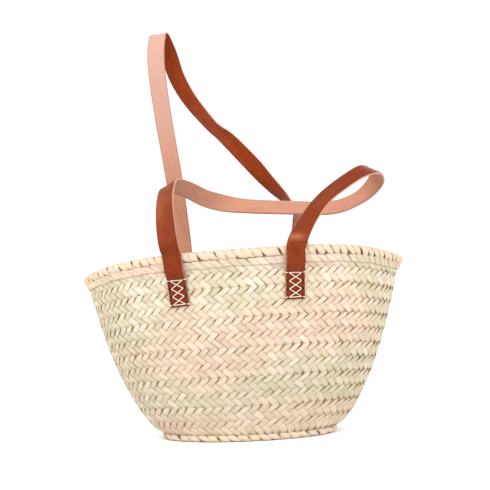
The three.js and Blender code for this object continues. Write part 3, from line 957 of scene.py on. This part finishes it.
def strap_piece(name, handle, nodes, grain, creases, paler_span, edge_tone):
    """A whole strap, from one sewn end to the other.

    Each crease is its place along the strap in mm (from the far end if below 0), its spread, how wrinkled
    the grain is there, and how much painted sheen lies there, a pale band for a highlight. The flesh side
    pales from paler_span[0] to paler_span[1] and darkens again after paler_span[2]. edge_tone is how dark
    the cut edges are away from the legs.
    """
    rows, slopes = smooth_route(route_of(handle), STRAP_STEPS)
    middle, along, across = rows[:, :3], unit(slopes[:, :3]), rows[:, 3:]
    across = unit(across - along * (across * along).sum(-1, keepdims=True))
    face = np.cross(along, across)
    outline, parts = strap_outline()
    distance = distance_along(middle) / MM
    sideways, through = outline[None, :, 0], outline[None, :, 1]
    points = middle[:, None] + across[:, None] * sideways[..., None] * MM
    points = points + face[:, None] * (through[..., None] * MM)
    d, u, n = np.broadcast_arrays(distance[:, None], sideways, through)
    from_end = np.minimum(d, distance[-1] - d)
    side_wear = smoothstep(np.abs(u), 10.9, 12.4) * 0.8
    end_wear = (1 - smoothstep(from_end, 0.3, 1.6)) * 0.8
    stitched = (1 - smoothstep(from_end, TAB_LENGTH - 1.5, TAB_LENGTH + 0.5)) * 0.55
    leg = 1 - smoothstep(from_end, 70, 110)
    on_edge = np.abs(u) > STRAP_WIDTH / MM / 2 - 0.3
    wear = np.clip(side_wear + end_wear + stitched, 0, 1)
    wear = np.where(on_edge, edge_tone + (1 - edge_tone) * leg, wear)
    crease, painted_sheen = np.zeros_like(wear), np.zeros_like(wear)
    # each crease adds wrinkles and a band of painted sheen for a highlight
    for place, spread, wrinkled, sheen_share in creases:
        place = place if place > 0 else distance[-1] + place
        near = np.exp(-(((d - place + 0.25 * u) / spread) ** 2))
        crease += wrinkled * near
        painted_sheen += sheen_share * near * (0.6 + 0.4 * np.cos(u / 5 + place))
    paler = smoothstep(d, paler_span[0], paler_span[1]) * (1 - smoothstep(d, paler_span[2], paler_span[2] + 20))
    layers = {
        "strap": np.stack([d, u, n], -1),
        "wear": wear,
        "crease": np.clip(crease, 0, 1),
        "painted_sheen": np.clip(painted_sheen, 0, 1),
        "paler": paler,
    }
    caps = np.full(2 * (len(outline) - 2), 2)
    parts = np.concatenate([np.tile(parts, len(distance) - 1), caps])
    materials = [grain, flesh, raw_edge]
    groups = [(points[None], layers)]
    piece = make_piece(name, groups, materials, flipped=True, parts=parts, body=None)
    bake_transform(piece)
    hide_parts(*nodes)


strap_piece(
    "front_strap",
    FRONT,
    nodes=("front_handle", "front_left_tab", "front_right_tab"),
    grain=front_grain_shaded,
    # the last value of each crease is painted sheen, a pale band for a highlight
    creases=[
        (80, 11, 0.9, 0),
        (60, 12, 0.3, 0),
        (155, 35, 0, 0.4),
        (-84, 5.0, 0.5, 0.9),
        (-74, 6.0, 0.3, 0),
    ],
    paler_span=(700, 760, 720),
    edge_tone=0.25,
)
strap_piece(
    "rear_strap",
    REAR,
    nodes=("rear_handle", "rear_left_tab", "rear_right_tab"),
    grain=rear_grain_lit,
    # the last value of each crease is painted sheen, a pale band for a highlight
    creases=[(76, 6.0, 0.4, 0.2), (-90, 7.0, 0.4, 0.2)],
    paler_span=(150, 340, 420),
    edge_tone=0.75,
)


# ---------- lacing ----------

THREAD_RADIUS = 0.00062
THREAD_RING = 10
PLY_PITCH = 0.0021  # length over which the two plies change places
PLY_BULGE = 0.16
SURFACE = STRAP_THICKNESS / 2
HOLE_ROWS, HOLE_ROW_PITCH, HOLE_HALF_SPACING, FIRST_ROW = 4, 0.0104, 0.0079, 0.0034
HOLE_RING = 20
# Section of a punched hole and its lip: radius and height above the leather, in mm.
HOLE_PROFILE = [
    (1.9, 0.0), (1.75, 0.08), (1.55, 0.08), (1.35, 0.0),
    (0.6, 0.02), (0.02, 0.02), (0.02, -0.6), (1.85, -0.6),
]
OVER_EDGE = STRAP_WIDTH / 2 + 0.0007 + STRAP_GAP
INSIDE = -(SURFACE + 2 * STRAP_GAP + WALL + 0.0010)  # level of the thread inside the basket


def hole_height(k):
    return FIRST_ROW + k * HOLE_ROW_PITCH


def tab_frame(end):
    """Frame of a sewn tab at each height above its lower end: middle, across, up and outwards."""
    low = strap_on_wall(end, end["foot"] * MM)[0]
    high = strap_on_wall(end, end["foot"] * MM + hole_height(HOLE_ROWS - 1))[0]
    up = unit(high - low)

    def frame_at(height):
        middle, across, outward = strap_on_wall(end, low[2] + height * up[2])
        square = unit(np.cross(across, up))
        outward = square * np.sign(square @ outward)
        return middle, np.cross(up, outward), up, outward

    return frame_at


def rounded(points, step=0.0004):
    """A smooth path through a few points, in even steps."""
    rows, _ = smooth_route(np.array(points), 24)
    lengths = distance_along(rows)
    even = np.linspace(0, lengths[-1], max(4, int(lengths[-1] / step)))
    return np.stack([np.interp(even, lengths, rows[:, k]) for k in range(3)], -1)


def ply_tube(path):
    """A two-ply thread: its section turns as it goes."""
    along = unit(np.gradient(path, axis=0))
    side = np.cross(along[0], [0.3, 0.5, 0.81])
    sides = []
    for direction in along:
        side = unit(side - direction * (side @ direction))
        sides.append(side)
    sides = np.array(sides)
    others = np.cross(along, sides)
    length = distance_along(path)[:, None]
    angle = np.linspace(0, math.tau, THREAD_RING, endpoint=False)[None, :]
    bulge = 1 + PLY_BULGE * np.cos(2 * (angle - length / PLY_PITCH * math.pi))
    r = THREAD_RADIUS * bulge
    points = path[:, None] + sides[:, None] * (r * np.cos(angle))[..., None]
    points = points + others[:, None] * (r * np.sin(angle))[..., None]
    ply = np.stack(np.broadcast_arrays(length / MM, angle, r * 0), -1)
    # the edge layer is where the thread material paints shade in the groove between the plies
    return points[None], {"ply": ply, "edge": np.clip((1.0 - bulge) / PLY_BULGE, 0, 1)}


def lacing(name, end, node_name):
    """Crossed thread over a tab, round its two edges and down the inside of the wall."""
    frame_at = tab_frame(end)
    h, deep = HOLE_HALF_SPACING, SURFACE - 0.0022
    level = SURFACE + THREAD_RADIUS * 0.9
    threads = []

    def sew(*route):
        """A stretch of thread. The route's points are across, up and outwards on the tab."""
        points = []
        for u, v, n in route:
            middle, across, _, outward = frame_at(v)
            points.append(middle + across * u + outward * n)
        threads.append(ply_tube(rounded(points)))

    def over(u1, v1, u2, v2, hump):
        """A stretch on the leather from one hole to another."""
        rise = (
            (0, deep), (0.02, SURFACE), (0.09, level), (0.5, level + hump),
            (0.91, level), (0.98, SURFACE), (1, deep),
        )
        sew(*[(lerp(u1, u2, s), lerp(v1, v2, s), n) for s, n in rise])

    for k in range(HOLE_ROWS - 1):
        low, high = hole_height(k), hole_height(k + 1)
        over(h, low, -h, high, 0.0001)
        over(-h, low, h, high, 0.0012)
    for k, sway, drop in ((0, -0.0004, -0.0006), (HOLE_ROWS - 1, 0.0006, 0.0012)):
        v = hole_height(k)
        over(-h, v + sway, h, v + sway * 0.3, 0.0002)
        for sign in (-1, 1):
            sew(
                (sign * (h + 0.0018), v + drop * 0.4, deep),
                (sign * (h + 0.0021), v + drop * 0.4, SURFACE),
                (sign * (h + 0.0027), v + drop * 0.5, level),
                (sign * (OVER_EDGE - 0.0016), v + drop * 0.8, level),
                (sign * OVER_EDGE, v + drop, SURFACE - 0.0003),
                (sign * (OVER_EDGE + 0.0001), v + drop, -SURFACE),
                (sign * OVER_EDGE, v + drop, INSIDE * 0.6),
                (sign * (OVER_EDGE - 0.001), v + drop, INSIDE - 0.0004),
                (sign * (h + 0.001), v, INSIDE - 0.0004),
                (sign * h, v, INSIDE * 0.6),
            )
    for u in (-h, h):
        for k in range(HOLE_ROWS - 1):
            low, high = hole_height(k), hole_height(k + 1)
            sew(
                (u, low, INSIDE * 0.6),
                (u, low + 0.0008, INSIDE - 0.0003),
                (u, (low + high) / 2, INSIDE - 0.0005),
                (u, high - 0.0008, INSIDE - 0.0003),
                (u, high, INSIDE * 0.6),
            )
    piece = make_piece(name, threads, [thread])
    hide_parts(node_name)
    holes(name.replace("lacing", "holes"), frame_at)


def holes(name, frame_at):
    """The punched holes: a dish of painted shade inside a raised burnished lip, where a thread goes in."""
    angle = np.linspace(0, math.tau, HOLE_RING, endpoint=False)[:, None]
    groups = []
    for sign in (-1, 1):
        for k in range(HOLE_ROWS):
            middle, across, up, outward = frame_at(hole_height(k))
            middle = middle + across * sign * (HOLE_HALF_SPACING + 0.0011)
            circle = across * np.cos(angle) + up * 0.9 * np.sin(angle)
            rings = [middle + circle * r * MM + outward * (SURFACE + n * MM) for r, n in HOLE_PROFILE]
            groups.append((np.array([rings]), {}))
    make_piece(name, groups, [punched], capped=False)


lacing("front_left_lacing", FRONT["start"], "front_left_stitching")
lacing("front_right_lacing", FRONT["finish"], "front_right_stitching")
lacing("rear_left_lacing", REAR["start"], "rear_left_stitching")
lacing("rear_right_lacing", REAR["finish"], "rear_right_stitching")


# ---------- CAD parts that stay ----------

for name in [f"seam_cord_{number}" for number in range(1, TURNS)] + ["rim_core"]:
    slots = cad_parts[name].data.materials
    slots.clear()
    slots.append(cord)


# ---------- floor, light and background ----------

FLOOR_HALF_SIZE = 20.0
LIGHT_TARGET = np.array((0, 0, 0.2))


def make_floor():
    material, tree = new_material("floor")
    place = (node(tree, "ShaderNodeTexCoord"), "Object")
    mottle = noise(tree, place, 3.0, detail=2.0, roughness=0.5)
    colour = mix_colour(tree, "MIX", mottle, (0.93, 0.93, 0.935), (0.96, 0.96, 0.96))
    shader = tree.nodes["Principled BSDF"]
    link(tree, colour, shader.inputs["Base Color"])
    shader.inputs["Roughness"].default_value = 0.9
    shader.inputs["Specular IOR Level"].default_value = 0.1
    mesh = bpy.data.meshes.new("floor")
    s = FLOOR_HALF_SIZE
    mesh.from_pydata([(-s, -s, 0), (s, -s, 0), (s, s, 0), (-s, s, 0)], [], [(0, 1, 2, 3)])
    mesh.materials.append(material)
    floor = add_object("floor", mesh)
    floor.location.z = -0.0003


def area_light(name, place, size, power, colour):
    data = bpy.data.lights.new(name, "AREA")
    data.shape = "DISK"
    data.size = size
    data.energy = power
    data.color = colour
    light = add_object(name, data)
    back = unit(place - LIGHT_TARGET)
    right = unit(np.cross([0, 0, 1], back))
    matrix = np.eye(4)
    matrix[:3] = np.stack([right, np.cross(back, right), back, place], -1)
    light.matrix_world = Matrix(matrix.tolist())


make_floor()
area_light("key", (-0.6, -1.4, 2.05), 1.6, 19, (1.0, 0.98, 0.97))
area_light("fill", (1.6, -1.5, 0.9), 1.6, 11, (0.99, 0.99, 1.0))
area_light("side", (-1.8, -1.2, 0.8), 1.6, 7, (1.0, 1.0, 1.0))
area_light("back", (0.3, 1.9, 1.6), 1.4, 8, (1.0, 1.0, 1.0))

world = bpy.data.worlds.new("studio")
world.use_nodes = True
background = world.node_tree.nodes["Background"]
background.inputs["Color"].default_value = (1.0, 0.995, 1.0, 1)
background.inputs["Strength"].default_value = 0.82
scene.world = world
scene.view_settings.view_transform = "Standard"
scene.view_settings.look = "None"
scene.view_settings.exposure = 0.5

bpy.context.view_layer.update()
